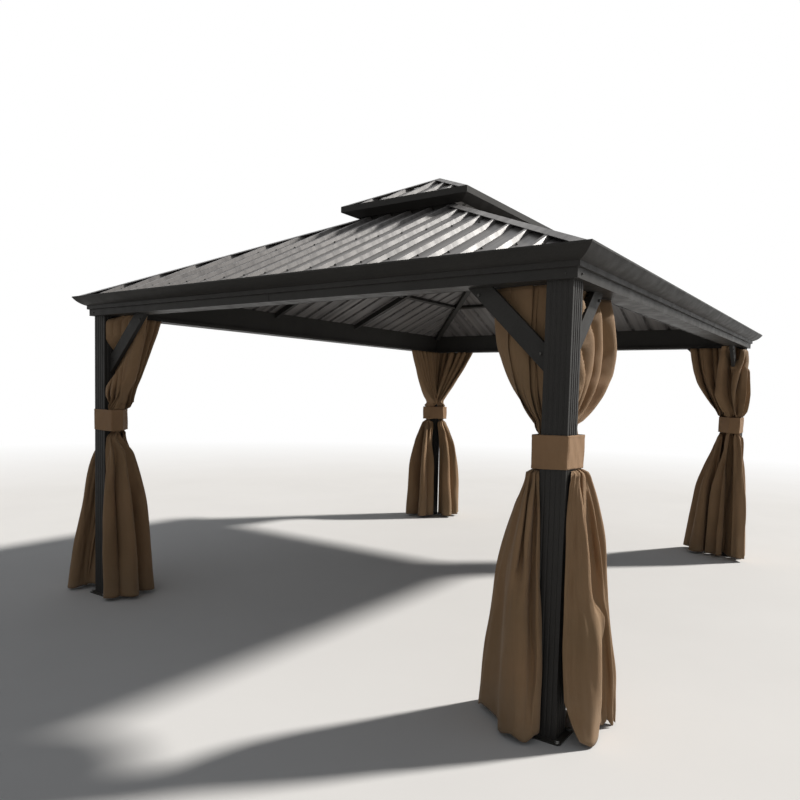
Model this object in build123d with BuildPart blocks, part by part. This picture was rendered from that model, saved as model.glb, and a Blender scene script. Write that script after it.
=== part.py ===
from build123d import *
import math
import os

# Frame in plan, measured over the outer faces of the beams
frame_length = 4800.0
frame_width = 3600.0
beam_underside = 2034.0

# Posts and base plates
post_side = 120.0
post_wall = 2.5
post_setback = 26.0
flute_width = 11.0
flute_depth = 3.0
flute_pitch = 24.0
flutes_per_face = 4
foot_side = 180.0
foot_thickness = 8.0
foot_hole_diameter = 13.0
foot_hole_inset = 15.0

# Beams, with a curtain track along the inner lower edge
beam_width = 128.0
beam_wall = 3.0
beam_joint_gap = 3.0
beam_joint_depth = 2.0
track_width = 20.0
track_height = 24.0
track_wall = 2.0
track_slot = 8.0

# Cornice, whose band starts above the beam's lower face
cornice_overhang = 85.5
cornice_height = 134.0
cornice_gauge = 2.5
cornice_lip = 9.0
cornice_band_start = 44.0
cornice_band_height = 27.0
cornice_band_proud = 13.0
cornice_sag = 9.0

# Main roof
roof_slope = 24.76
pan_below_lip = 34.0
panel_gauge = 0.8
rib_pitch = 178.0
rib_foot = 46.0
rib_crown = 22.0
rib_height = 22.0
panel_eave_inset = 45.0
panel_end_gap = 3.0
hip_cap_half = 50.0
hip_cap_inset = 6.0
cap_gauge = 1.5

# Bars under the main roof
rafter_depth = 42.0
rafter_width = 40.0
rafter_wall = 2.0
rafter_place = 600.0
hip_rafter_width = 50.0
purlin_run = 730.0
purlin_depth = 30.0
purlin_width = 30.0

# Upper ring that the main slopes rise to
ring_share = 0.2
ring_height = 90.0
ring_below_pan = 56.0
ring_gauge = 3.0
ring_flange = 40.0
upright_side = 30.0

# Upper roof
upper_roof_slope = 26.2
upper_overhang_ends = 130.0
upper_overhang_sides = 180.0
upper_eave_lift = 59.4
upper_fascia = 44.0
upper_soffit_run = 87.0
upper_soffit_drop = 36.0
upper_flange = 35.0
upper_gauge = 1.5
upper_pan_below_lip = 27.0
upper_bar = 25.0
upper_cap_half = 42.0

# Knee braces
brace_reach = 410.0
brace_depth = 88.0
brace_thickness = 30.0
brace_wall = 2.0

# Curtains, gathered and tied back to the posts
curtain_top_thickness = 56.0
curtain_neck_thickness = 72.0
curtain_waist_thickness = 110.0
curtain_foot_width = 296.0
curtain_foot_height = 26.0
curtain_clearance = 4.0
curtain_cloth = 1300.0

# Shares of the cloth's flat width: at the track, at the brace's lower end and in the tie band
curtain_widths = {
    ("front_left", "long_side"): (0.592, 0.492, 0.065),
    ("front_left", "short_side"): (0.223, 0.185, 0.025),
    ("front_right", "long_side"): (0.308, 0.231, 0.065),
    ("front_right", "short_side"): (0.263, 0.198, 0.054),
    ("back_left", "long_side"): (0.262, 0.146, 0.065),
    ("back_left", "short_side"): (0.246, 0.165, 0.065),
    ("back_right", "long_side"): (0.435, 0.277, 0.065),
    ("back_right", "short_side"): (0.396, 0.204, 0.065),
}

# Shares of the same width: the foot's middle inward of the frame's side, and its size across
curtain_feet = {
    ("front_left", "long_side"): (-0.023, 0.262),
    ("front_left", "short_side"): (0.035, 0.270),
    ("front_right", "long_side"): (0.031, 0.246),
    ("front_right", "short_side"): (0.031, 0.262),
    ("back_left", "long_side"): (-0.031, 0.246),
    ("back_left", "short_side"): (0.092, 0.323),
    ("back_right", "long_side"): (0.023, 0.254),
    ("back_right", "short_side"): (0.027, 0.254),
}

# Tie bands
band_drop = 822.0
band_height = 150.0
band_gauge = 3.0
band_margin = 12.0

# Clearance between seated pieces
seat = 0.3

half_length = frame_length / 2
half_width = frame_width / 2
slope = math.radians(roof_slope)
rise = math.tan(slope)
cornice_top = beam_underside + cornice_height
cornice_band_bottom = beam_underside + cornice_band_start
cornice_band_top = cornice_band_bottom + cornice_band_height
band_bottom = beam_underside - band_drop
lip_length = half_length + cornice_overhang
lip_width = half_width + cornice_overhang
pan_at_lip = cornice_top - pan_below_lip
panel_under = panel_gauge / math.cos(slope) + seat
post_centre = post_setback + post_side / 2
post_face = post_setback + post_side

ring_half_width = half_width * ring_share
roof_run = half_width - ring_half_width
ring_half_length = half_length - roof_run
ring_bottom = pan_at_lip + rise * (cornice_overhang + roof_run) - ring_below_pan

upper_slope = math.radians(upper_roof_slope)
upper_rise = math.tan(upper_slope)
upper_panel_under = panel_gauge / math.cos(upper_slope) + seat
upper_half_length = ring_half_length + upper_overhang_ends
upper_half_width = ring_half_width + upper_overhang_sides
upper_eave_top = ring_bottom + ring_height + upper_eave_lift
upper_pan_at_lip = upper_eave_top - upper_pan_below_lip
least_overhang = min(upper_overhang_ends, upper_overhang_sides)
upper_bar_bottom = upper_pan_at_lip + upper_rise * least_overhang - upper_panel_under - upper_bar
ridge_half = upper_half_length - upper_half_width
ridge_pan = upper_pan_at_lip + upper_rise * upper_half_width

up = Vector(0, 0, 1)
sides = {
    "front": Vector(0, -1, 0),
    "back": Vector(0, 1, 0),
    "left": Vector(-1, 0, 0),
    "right": Vector(1, 0, 0),
}
corners = {
    "front_left": (-1, -1),
    "front_right": (1, -1),
    "back_left": (-1, 1),
    "back_right": (1, 1),
}


def export(part, name):
    part.label = name
    os.makedirs("parts", exist_ok=True)
    export_step(part, f"parts/{name}.step")


def joined(pieces):
    with BuildPart() as whole:
        for piece in pieces:
            add(piece)
    return whole.part


def side_sizes(side, length, width):
    """Distance of a side from the centre, and its half length."""
    if side in ("front", "back"):
        return width, length
    return length, width


def section_plane(side, length, width):
    """Plane across a side: local x points outward from its face and local y is up."""
    out, _ = side_sizes(side, length, width)
    return Plane(origin=sides[side] * out, x_dir=sides[side], z_dir=sides[side].cross(up))


def mitres(side, length, width, gap=0.0):
    """Upright planes at 45 degrees through both ends of a side, facing away from it."""
    out, run = side_sizes(side, length, width)
    along = sides[side].cross(up)
    planes = []
    for sense in (-1, 1):
        end = sides[side] * out + along * (sense * (run - gap))
        planes.append(Plane(origin=end, z_dir=along * sense - sides[side]))
    return planes


def hip_angle(angle):
    """Slope of the hip where two roof slopes of one angle meet."""
    return math.atan(math.tan(angle) / math.sqrt(2))


def slope_plane(side, length, width, height, angle):
    """Plane square to a roof slope at its lip: its normal runs up the slope."""
    out, _ = side_sizes(side, length, width)
    up_slope = sides[side] * -math.cos(angle) + up * math.sin(angle)
    origin = sides[side] * out + up * height
    return Plane(origin=origin, x_dir=sides[side].cross(up), z_dir=up_slope)


def hip_plane(x_sign, y_sign, length, width, height, angle):
    """Plane square to a hip at the lip's corner: its normal runs up the hip."""
    diagonal = Vector(x_sign, y_sign, 0).normalized()
    hip_slope = hip_angle(angle)
    up_hip = diagonal * -math.cos(hip_slope) + up * math.sin(hip_slope)
    origin = Vector(x_sign * length, y_sign * width, height)
    return Plane(origin=origin, x_dir=diagonal.cross(up), z_dir=up_hip)


def hip_distance(inset, angle):
    """Length along a hip for a level distance in from the eave."""
    return inset * math.sqrt(2) / math.cos(hip_angle(angle))


def make_post(x_sign, y_sign):
    x_middle = x_sign * (half_length - post_centre)
    y_middle = y_sign * (half_width - post_centre)
    radius = (flute_width**2 / 4 + flute_depth**2) / (2 * flute_depth)
    reach = post_side / 2 + radius - flute_depth
    bore = post_side - 2 * (post_wall + flute_depth)
    hole_place = foot_side - 2 * foot_hole_inset
    with BuildPart() as post:
        with BuildSketch(Plane.XY.offset(foot_thickness)):
            with Locations((x_middle, y_middle)):
                Rectangle(post_side, post_side)
                Rectangle(bore, bore, mode=Mode.SUBTRACT)
            for number in range(flutes_per_face):
                across = (number - (flutes_per_face - 1) / 2) * flute_pitch
                with Locations(
                    (x_middle + reach, y_middle + across),
                    (x_middle - reach, y_middle + across),
                    (x_middle + across, y_middle + reach),
                    (x_middle + across, y_middle - reach),
                ):
                    Circle(radius, mode=Mode.SUBTRACT)
        extrude(amount=beam_underside - foot_thickness)
        with BuildSketch(Plane.XY):
            with Locations((x_middle, y_middle)):
                RectangleRounded(foot_side, foot_side, foot_hole_inset)
                with GridLocations(hole_place, hole_place, 2, 2):
                    Circle(foot_hole_diameter / 2, mode=Mode.SUBTRACT)
        extrude(amount=foot_thickness)
    return post.part


def make_beam(side):
    _, run = side_sizes(side, half_length, half_width)
    top_out = pan_at_lip + rise * cornice_overhang - panel_under
    top_in = top_out + rise * beam_width
    track_middle = -beam_width - track_width / 2
    with BuildPart() as beam:
        with BuildSketch(section_plane(side, half_length, half_width)):
            with BuildLine():
                Polyline(
                    (0, beam_underside),
                    (0, top_out),
                    (-beam_width, top_in),
                    (-beam_width, beam_underside),
                    close=True,
                )
            make_face()
            offset(amount=-beam_wall, kind=Kind.INTERSECTION, mode=Mode.SUBTRACT)
            with Locations((track_middle, beam_underside + track_height / 2)):
                Rectangle(track_width, track_height)
                Rectangle(
                    track_width - 2 * track_wall,
                    track_height - 2 * track_wall,
                    mode=Mode.SUBTRACT,
                )
            with Locations((track_middle, beam_underside + track_wall / 2)):
                Rectangle(track_slot, track_wall, mode=Mode.SUBTRACT)
        extrude(amount=run, both=True)
        for cut in mitres(side, half_length, half_width):
            split(bisect_by=cut, keep=Keep.BOTTOM)
        with BuildSketch(section_plane(side, half_length, half_width)):
            with Locations((0, (beam_underside + cornice_band_bottom) / 2)):
                Rectangle(2 * beam_joint_depth, cornice_band_bottom - beam_underside)
        extrude(amount=beam_joint_gap / 2, both=True, mode=Mode.SUBTRACT)
    return beam.part


def make_cornice(side):
    _, run = side_sizes(side, half_length, half_width)
    gauge = cornice_gauge
    lip_under = cornice_top - cornice_lip
    throat = (cornice_band_proud, cornice_band_top)
    flare = (cornice_overhang - gauge, lip_under)
    inner_throat = (cornice_band_proud - gauge, cornice_band_top + gauge)
    inner_flare = (cornice_overhang - gauge, lip_under + gauge)
    middle_x = (cornice_band_proud + cornice_overhang) / 2
    middle_y = (cornice_band_top + lip_under) / 2 - cornice_sag
    flange_top = pan_at_lip + rise * cornice_overhang - panel_under - beam_wall
    with BuildPart() as cornice:
        with BuildSketch(section_plane(side, half_length, half_width)):
            with BuildLine():
                Polyline(
                    (0, flange_top),
                    (0, cornice_band_bottom),
                    (cornice_band_proud, cornice_band_bottom + gauge),
                    throat,
                )
                ThreePointArc(throat, (middle_x, middle_y), flare)
                Polyline(
                    flare,
                    (cornice_overhang, lip_under),
                    (cornice_overhang, cornice_top),
                    (cornice_overhang - gauge, cornice_top),
                    inner_flare,
                )
                ThreePointArc(inner_flare, (middle_x - gauge, middle_y + gauge), inner_throat)
                Polyline(
                    inner_throat,
                    (cornice_band_proud - gauge, cornice_band_bottom + 2 * gauge),
                    (gauge, cornice_band_bottom + 2 * gauge),
                    (gauge, flange_top),
                    (0, flange_top),
                )
            make_face()
        extrude(amount=run + cornice_overhang, both=True)
        for cut in mitres(side, half_length, half_width):
            split(bisect_by=cut, keep=Keep.BOTTOM)
    return cornice.part


def sheet_outline(half_run):
    """Outline of a ribbed sheet across its ribs, one rib on the middle line."""
    count = int((half_run - rib_foot / 2) // rib_pitch)
    lean = math.atan2(rib_height, (rib_foot - rib_crown) / 2)
    tuck = panel_gauge * math.tan(lean / 2)
    top = [(-half_run, 0)]
    under = [(-half_run, -panel_gauge)]
    for number in range(-count, count + 1):
        middle = number * rib_pitch
        for sense in (-1, 1):
            foot = (middle + sense * rib_foot / 2, 0)
            crown = (middle + sense * rib_crown / 2, rib_height)
            pair = (foot, crown) if sense < 0 else (crown, foot)
            for x, y in pair:
                top.append((x, y))
                under.append((x - sense * tuck, y - panel_gauge))
    top.append((half_run, 0))
    under.append((half_run, -panel_gauge))
    return top + under[::-1]


def make_panel(side, length, width, height, angle, start, end):
    _, run = side_sizes(side, length, width)
    with BuildPart() as panel:
        plane = slope_plane(side, length, width, height, angle)
        with BuildSketch(plane.offset(start / math.cos(angle))):
            with BuildLine():
                Polyline(*sheet_outline(run), close=True)
            make_face()
        extrude(amount=(end - start) / math.cos(angle))
        for cut in mitres(side, length, width, panel_end_gap):
            split(bisect_by=cut, keep=Keep.BOTTOM)
    return panel.part


def cap_outline(half, ratio):
    """Outline of a folded cap over two slopes that fall away at the given ratio."""
    stretch = math.hypot(1, ratio)
    under = (rib_height + seat) * stretch
    top = (rib_height + seat + cap_gauge) * stretch
    return [
        (-half, under - half * ratio),
        (0, under),
        (half, under - half * ratio),
        (half, top - half * ratio),
        (0, top),
        (-half, top - half * ratio),
    ]


def make_hip_cap(x_sign, y_sign):
    diagonal = Vector(x_sign, y_sign, 0).normalized()
    ring_corner = Vector(x_sign * ring_half_length, y_sign * ring_half_width, 0)
    with BuildPart() as cap:
        with BuildSketch(hip_plane(x_sign, y_sign, lip_length, lip_width, pan_at_lip, slope)):
            with BuildLine():
                Polyline(*cap_outline(hip_cap_half, math.sin(hip_angle(slope))), close=True)
            make_face()
        extrude(amount=hip_distance(cornice_overhang + roof_run + hip_cap_half, slope))
        eave_x = Vector(x_sign * (lip_length - hip_cap_inset), 0, 0)
        eave_y = Vector(0, y_sign * (lip_width - hip_cap_inset), 0)
        split(bisect_by=Plane(origin=eave_x, z_dir=(x_sign, 0, 0)), keep=Keep.BOTTOM)
        split(bisect_by=Plane(origin=eave_y, z_dir=(0, y_sign, 0)), keep=Keep.BOTTOM)
        end = ring_corner + diagonal * seat
        split(bisect_by=Plane(origin=end, z_dir=diagonal * -1), keep=Keep.BOTTOM)
    return cap.part


def make_rafters(side):
    places = (-rafter_place, rafter_place) if side in ("front", "back") else (0.0,)
    out, _ = side_sizes(side, half_length, half_width)
    plane = slope_plane(side, lip_length, lip_width, pan_at_lip, slope)
    level = -panel_gauge - seat - rafter_depth / 2
    low_end = sides[side] * (out - beam_width - seat)
    high_end = sides[side] * (out - roof_run + seat)
    with BuildPart() as rafters:
        with BuildSketch(plane):
            with Locations(*[(place, level) for place in places]):
                Rectangle(rafter_width, rafter_depth)
                Rectangle(
                    rafter_width - 2 * rafter_wall,
                    rafter_depth - 2 * rafter_wall,
                    mode=Mode.SUBTRACT,
                )
        extrude(amount=(cornice_overhang + roof_run + rafter_depth) / math.cos(slope))
        split(bisect_by=Plane(origin=low_end, z_dir=sides[side]), keep=Keep.BOTTOM)
        split(bisect_by=Plane(origin=high_end, z_dir=sides[side] * -1), keep=Keep.BOTTOM)
    return rafters.part


def make_hip_rafter(x_sign, y_sign):
    diagonal = Vector(x_sign, y_sign, 0).normalized()
    edge_drop = hip_rafter_width / 2 * math.sin(hip_angle(slope))
    level = -edge_drop - panel_under - rafter_depth / 2
    beam_corner = Vector(x_sign * (half_length - beam_width), y_sign * (half_width - beam_width), 0)
    ring_corner = Vector(x_sign * ring_half_length, y_sign * ring_half_width, 0)
    low_end = beam_corner - diagonal * (hip_rafter_width / 2 + seat * math.sqrt(2))
    high_end = ring_corner + diagonal * seat
    with BuildPart() as hip:
        with BuildSketch(hip_plane(x_sign, y_sign, lip_length, lip_width, pan_at_lip, slope)):
            with Locations((0, level)):
                Rectangle(hip_rafter_width, rafter_depth)
                Rectangle(
                    hip_rafter_width - 2 * rafter_wall,
                    rafter_depth - 2 * rafter_wall,
                    mode=Mode.SUBTRACT,
                )
        extrude(amount=hip_distance(cornice_overhang + roof_run + rafter_depth, slope))
        split(bisect_by=Plane(origin=low_end, z_dir=diagonal), keep=Keep.BOTTOM)
        split(bisect_by=Plane(origin=high_end, z_dir=diagonal * -1), keep=Keep.BOTTOM)
    return hip.part


def make_purlins(side):
    _, run = side_sizes(side, half_length, half_width)
    end = run - purlin_run + purlin_width
    inner = rafter_width / 2 + seat
    if side in ("front", "back"):
        spans = [
            (-end, -rafter_place - inner),
            (-rafter_place + inner, rafter_place - inner),
            (rafter_place + inner, end),
        ]
    else:
        spans = [(-end, -inner), (inner, end)]
    plane = slope_plane(side, lip_length, lip_width, pan_at_lip, slope)
    level = -panel_gauge - seat - purlin_depth / 2
    hip_gap = (hip_rafter_width / 2 + seat) * math.sqrt(2)
    with BuildPart() as purlins:
        with BuildSketch(plane.offset((cornice_overhang + purlin_run) / math.cos(slope))):
            for low, high in spans:
                with Locations(((low + high) / 2, level)):
                    Rectangle(high - low, purlin_depth)
        extrude(amount=purlin_width / 2, both=True)
        for cut in mitres(side, half_length, half_width, hip_gap):
            split(bisect_by=cut, keep=Keep.BOTTOM)
    return purlins.part


def make_ring():
    inner_x = 2 * (ring_half_length - ring_gauge)
    inner_y = 2 * (ring_half_width - ring_gauge)
    place_x = inner_x / 2 - upright_side / 2
    place_y = inner_y / 2 - upright_side / 2
    with BuildPart() as ring:
        with BuildSketch(Plane.XY.offset(ring_bottom)):
            Rectangle(2 * ring_half_length, 2 * ring_half_width)
            Rectangle(inner_x, inner_y, mode=Mode.SUBTRACT)
        extrude(amount=ring_height)
        with BuildSketch(Plane.XY.offset(ring_bottom)):
            Rectangle(2 * ring_half_length, 2 * ring_half_width)
            Rectangle(
                2 * (ring_half_length - ring_flange),
                2 * (ring_half_width - ring_flange),
                mode=Mode.SUBTRACT,
            )
        extrude(amount=ring_gauge)
        with BuildSketch(Plane.XY.offset(ring_bottom + ring_gauge)):
            for x in (-place_x, -place_x / 2, place_x / 2, place_x):
                with Locations((x, -place_y), (x, place_y)):
                    Rectangle(upright_side, upright_side)
        extrude(amount=upper_bar_bottom - seat - ring_bottom - ring_gauge)
    return ring.part


def make_eave_side(side):
    _, run = side_sizes(side, upper_half_length, upper_half_width)
    bottom = upper_eave_top - upper_fascia
    soffit = bottom - upper_soffit_drop
    flange = upper_pan_at_lip - upper_panel_under
    gauge = upper_gauge
    with BuildPart() as eave:
        with BuildSketch(section_plane(side, upper_half_length, upper_half_width)):
            with BuildLine():
                Polyline(
                    (0, upper_eave_top),
                    (0, bottom),
                    (-upper_soffit_run, soffit),
                    (-upper_soffit_run, soffit + gauge),
                    (-gauge, bottom + gauge),
                    (-gauge, flange + upper_rise * gauge - gauge),
                    (-upper_flange, flange + upper_rise * upper_flange - gauge),
                    (-upper_flange, flange + upper_rise * upper_flange),
                    (-gauge, flange + upper_rise * gauge),
                    (-gauge, upper_eave_top),
                    close=True,
                )
            make_face()
        extrude(amount=run, both=True)
        for cut in mitres(side, upper_half_length, upper_half_width):
            split(bisect_by=cut, keep=Keep.BOTTOM)
    return eave.part


def make_upper_frame():
    hip_start = hip_distance(upper_overhang_sides, upper_slope)
    hip_end = hip_distance(upper_half_width - upper_bar / 3, upper_slope)
    hip_level = -upper_bar / 2 * (1 + math.sin(hip_angle(upper_slope))) - upper_panel_under
    lip = (upper_half_length, upper_half_width, upper_pan_at_lip)
    with BuildPart() as frame:
        with BuildSketch(Plane.XY.offset(upper_bar_bottom)):
            Rectangle(2 * ring_half_length, 2 * ring_half_width)
            Rectangle(
                2 * (ring_half_length - upper_bar),
                2 * (ring_half_width - upper_bar),
                mode=Mode.SUBTRACT,
            )
        extrude(amount=upper_bar)
        with BuildSketch(Plane.YZ):
            with Locations((0, ridge_pan - upper_panel_under - upper_bar)):
                Rectangle(upper_bar, upper_bar)
        extrude(amount=ridge_half + upper_bar / 2, both=True)
        for x_sign, y_sign in corners.values():
            plane = hip_plane(x_sign, y_sign, *lip, upper_slope)
            with BuildSketch(plane.offset(hip_start)):
                with Locations((0, hip_level)):
                    Rectangle(upper_bar, upper_bar)
            extrude(amount=hip_end - hip_start)
    return frame.part


def make_upper_hip_cap(x_sign, y_sign):
    lip = (upper_half_length, upper_half_width, upper_pan_at_lip)
    inset = upper_gauge + seat
    with BuildPart() as cap:
        with BuildSketch(hip_plane(x_sign, y_sign, *lip, upper_slope).offset(-upper_cap_half)):
            with BuildLine():
                Polyline(*cap_outline(upper_cap_half, math.sin(hip_angle(upper_slope))), close=True)
            make_face()
        extrude(amount=hip_distance(upper_half_width, upper_slope) + 3 * upper_cap_half)
        eave_x = Vector(x_sign * (upper_half_length - inset), 0, 0)
        eave_y = Vector(0, y_sign * (upper_half_width - inset), 0)
        ridge_end = Vector(x_sign * (ridge_half + seat), 0, 0)
        middle = Vector(0, y_sign * seat, 0)
        split(bisect_by=Plane(origin=eave_x, z_dir=(x_sign, 0, 0)), keep=Keep.BOTTOM)
        split(bisect_by=Plane(origin=eave_y, z_dir=(0, y_sign, 0)), keep=Keep.BOTTOM)
        split(bisect_by=Plane(origin=ridge_end, z_dir=(-x_sign, 0, 0)), keep=Keep.BOTTOM)
        split(bisect_by=Plane(origin=middle, z_dir=(0, -y_sign, 0)), keep=Keep.BOTTOM)
    return cap.part


def make_ridge_cap():
    with BuildPart() as cap:
        with BuildSketch(Plane.YZ):
            with BuildLine():
                outline = cap_outline(upper_cap_half, upper_rise)
                Polyline(*[(x, y + ridge_pan) for x, y in outline], close=True)
            make_face()
        extrude(amount=ridge_half - seat, both=True)
    return cap.part


def make_braces(x_sign, y_sign):
    upper_reach = brace_reach - brace_depth * math.sqrt(2)
    with BuildPart() as braces:
        for lengthwise in (True, False):
            if lengthwise:
                origin = Vector(x_sign * half_length, y_sign * (half_width - post_centre), 0)
                inward = Vector(-x_sign, 0, 0)
            else:
                origin = Vector(x_sign * (half_length - post_centre), y_sign * half_width, 0)
                inward = Vector(0, -y_sign, 0)
            for wall, mode in ((0.0, Mode.ADD), (brace_wall, Mode.SUBTRACT)):
                low = brace_reach - wall * math.sqrt(2)
                high = upper_reach + wall * math.sqrt(2)
                with BuildSketch(Plane(origin=origin, x_dir=inward, z_dir=inward.cross(up))):
                    with BuildLine():
                        Polyline(
                            (post_face + seat, beam_underside - low + seat),
                            (post_face + low - seat, beam_underside - seat),
                            (post_face + high - seat, beam_underside - seat),
                            (post_face + seat, beam_underside - high + seat),
                            close=True,
                        )
                    make_face()
                extrude(amount=brace_thickness / 2 - wall, both=True, mode=mode)
    return braces.part


def make_curtain(corner, run):
    x_sign, y_sign = corners[corner]
    top_width, neck_width, waist_width = [share * curtain_cloth for share in curtain_widths[corner, run]]
    foot_across, foot_thickness = [share * curtain_cloth for share in curtain_feet[corner, run]]
    neck_across = post_centre + brace_thickness / 2 + curtain_clearance + curtain_neck_thickness / 2
    waist_low = band_bottom - band_margin
    waist_high = band_bottom + band_height + band_margin
    neck_height = beam_underside - brace_reach + curtain_clearance
    edge = post_face + curtain_clearance
    track_across = beam_width + track_width / 2
    levels = [
        (curtain_foot_height, foot_across, curtain_foot_width, foot_thickness),
        (waist_low, post_centre, waist_width, curtain_waist_thickness),
        (waist_high, post_centre, waist_width, curtain_waist_thickness),
        (neck_height, neck_across, neck_width, curtain_neck_thickness),
        (beam_underside - seat, track_across, top_width, curtain_top_thickness),
    ]
    with BuildPart() as curtain:
        for height, across, width, thickness in levels:
            along = edge + width / 2
            with BuildSketch(Plane.XY.offset(height)):
                if run == "long_side":
                    place = (x_sign * (half_length - along), y_sign * (half_width - across))
                    with Locations(place):
                        Ellipse(width / 2, thickness / 2)
                else:
                    place = (x_sign * (half_length - across), y_sign * (half_width - along))
                    with Locations(place):
                        Ellipse(thickness / 2, width / 2)
        loft(ruled=True)
    return curtain.part


def make_band(corner):
    x_sign, y_sign = corners[corner]
    near = post_setback - seat
    edge = post_face + curtain_clearance
    far = {}
    reach = 0.0
    for run in ("long_side", "short_side"):
        width = curtain_widths[corner, run][2] * curtain_cloth
        spread = math.hypot(width, curtain_waist_thickness) / 2
        far[run] = edge + width + seat
        reach = max(reach, edge + width / 2 + post_centre + spread + seat * math.sqrt(2))
    far_x = far["long_side"]
    far_y = far["short_side"]
    outline = [(near, near), (far_x, near), (far_x, reach - far_x), (reach - far_y, far_y), (near, far_y)]
    points = [(x_sign * (half_length - x), y_sign * (half_width - y)) for x, y in outline]
    with BuildPart() as band:
        with BuildSketch(Plane.XY.offset(band_bottom)):
            with BuildLine():
                Polyline(*points, close=True)
            make_face()
            offset(amount=band_gauge, kind=Kind.ARC)
            with BuildLine():
                Polyline(*points, close=True)
            make_face(mode=Mode.SUBTRACT)
        extrude(amount=band_height)
    return band.part


for side_name in sides:
    export(make_beam(side_name), f"beam_{side_name}")
    export(make_cornice(side_name), f"cornice_{side_name}")
    main_end = cornice_overhang + roof_run - panel_end_gap
    panel_sizes = (lip_length, lip_width, pan_at_lip, slope, panel_eave_inset, main_end)
    export(make_panel(side_name, *panel_sizes), f"roof_panel_{side_name}")

for corner_name, (sign_x, sign_y) in corners.items():
    export(make_post(sign_x, sign_y), f"post_{corner_name}")
    export(make_braces(sign_x, sign_y), f"knee_braces_{corner_name}")
    export(make_band(corner_name), f"tie_band_{corner_name}")
    for run_name in ("long_side", "short_side"):
        export(make_curtain(corner_name, run_name), f"curtain_{corner_name}_{run_name}")

signs = list(corners.values())
export(joined([make_hip_rafter(*pair) for pair in signs]), "hip_rafters")
export(joined([make_rafters(side_name) for side_name in sides]), "rafters")
export(joined([make_purlins(side_name) for side_name in sides]), "purlins")
export(joined([make_hip_cap(*pair) for pair in signs]), "hip_caps")
export(make_ring(), "upper_ring")
export(make_upper_frame(), "upper_frame")
export(joined([make_eave_side(side_name) for side_name in sides]), "upper_eave")

upper_sizes = (upper_half_length, upper_half_width, upper_pan_at_lip, upper_slope)
upper_start = upper_gauge + seat + rib_height * math.sin(upper_slope)
upper_end = upper_half_width - panel_end_gap
upper_panels = [make_panel(name, *upper_sizes, upper_start, upper_end) for name in sides]
export(joined(upper_panels), "upper_roof_panels")
export(joined([make_upper_hip_cap(*pair) for pair in signs]), "upper_hip_caps")
export(make_ridge_cap(), "ridge_cap")
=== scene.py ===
import math
import bmesh
import bpy
import numpy as np
from mathutils import Matrix, Vector


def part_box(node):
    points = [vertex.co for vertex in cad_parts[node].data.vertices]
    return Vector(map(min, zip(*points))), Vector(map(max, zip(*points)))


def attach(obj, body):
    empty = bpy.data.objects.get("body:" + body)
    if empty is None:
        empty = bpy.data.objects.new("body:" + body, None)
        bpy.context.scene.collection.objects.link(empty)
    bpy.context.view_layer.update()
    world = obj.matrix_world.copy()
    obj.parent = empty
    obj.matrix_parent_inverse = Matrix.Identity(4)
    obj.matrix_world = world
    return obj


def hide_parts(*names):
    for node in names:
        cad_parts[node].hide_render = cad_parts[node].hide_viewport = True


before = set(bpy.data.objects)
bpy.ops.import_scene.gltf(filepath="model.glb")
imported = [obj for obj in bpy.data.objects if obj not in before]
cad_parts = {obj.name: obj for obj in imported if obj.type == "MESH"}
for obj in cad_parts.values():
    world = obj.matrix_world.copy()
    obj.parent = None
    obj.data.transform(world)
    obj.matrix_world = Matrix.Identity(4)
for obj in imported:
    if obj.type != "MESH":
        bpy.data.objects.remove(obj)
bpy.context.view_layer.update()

# Signs of x and y at each corner
corners = {
    "front_left": (-1, -1),
    "front_right": (1, -1),
    "back_left": (-1, 1),
    "back_right": (1, 1),
}

# Half sizes over the beams' outer faces, and the heights of the tie bands' edges
half_length = round(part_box("beam_right")[1][0], 4)
half_width = round(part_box("beam_back")[1][1], 4)
band_low, band_high = (round(corner[2], 4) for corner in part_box("tie_band_front_left"))


# Camera, from a fit to the photograph's corners: lengths in pixels, angles in radians
def make_camera():
    image_side = 800
    focal = 698.07
    centre_x, centre_y = 370.18, 435.17
    yaw, pitch, roll = 0.6306, 0.0629, 0.0226
    eye = Vector((-5.3051, -2.8602, 1.5362))
    ahead = Vector((math.cos(yaw) * math.cos(pitch), math.sin(yaw) * math.cos(pitch), -math.sin(pitch)))
    right = Vector((math.sin(yaw), -math.cos(yaw), 0))
    above = right.cross(ahead)
    side = right * math.cos(roll) + above * math.sin(roll)
    top = above * math.cos(roll) - right * math.sin(roll)
    data = bpy.data.cameras.new("camera")
    data.sensor_width = 36.0
    data.lens = focal / image_side * data.sensor_width
    data.shift_x = (image_side / 2 - centre_x) / image_side
    data.shift_y = (centre_y - image_side / 2) / image_side
    data.clip_start = 0.05
    data.clip_end = 300
    camera = bpy.data.objects.new("camera", data)
    bpy.context.scene.collection.objects.link(camera)
    place = Matrix((side, top, -ahead)).transposed().to_4x4()
    place.translation = eye
    camera.matrix_world = place
    bpy.context.scene.camera = camera


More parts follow.
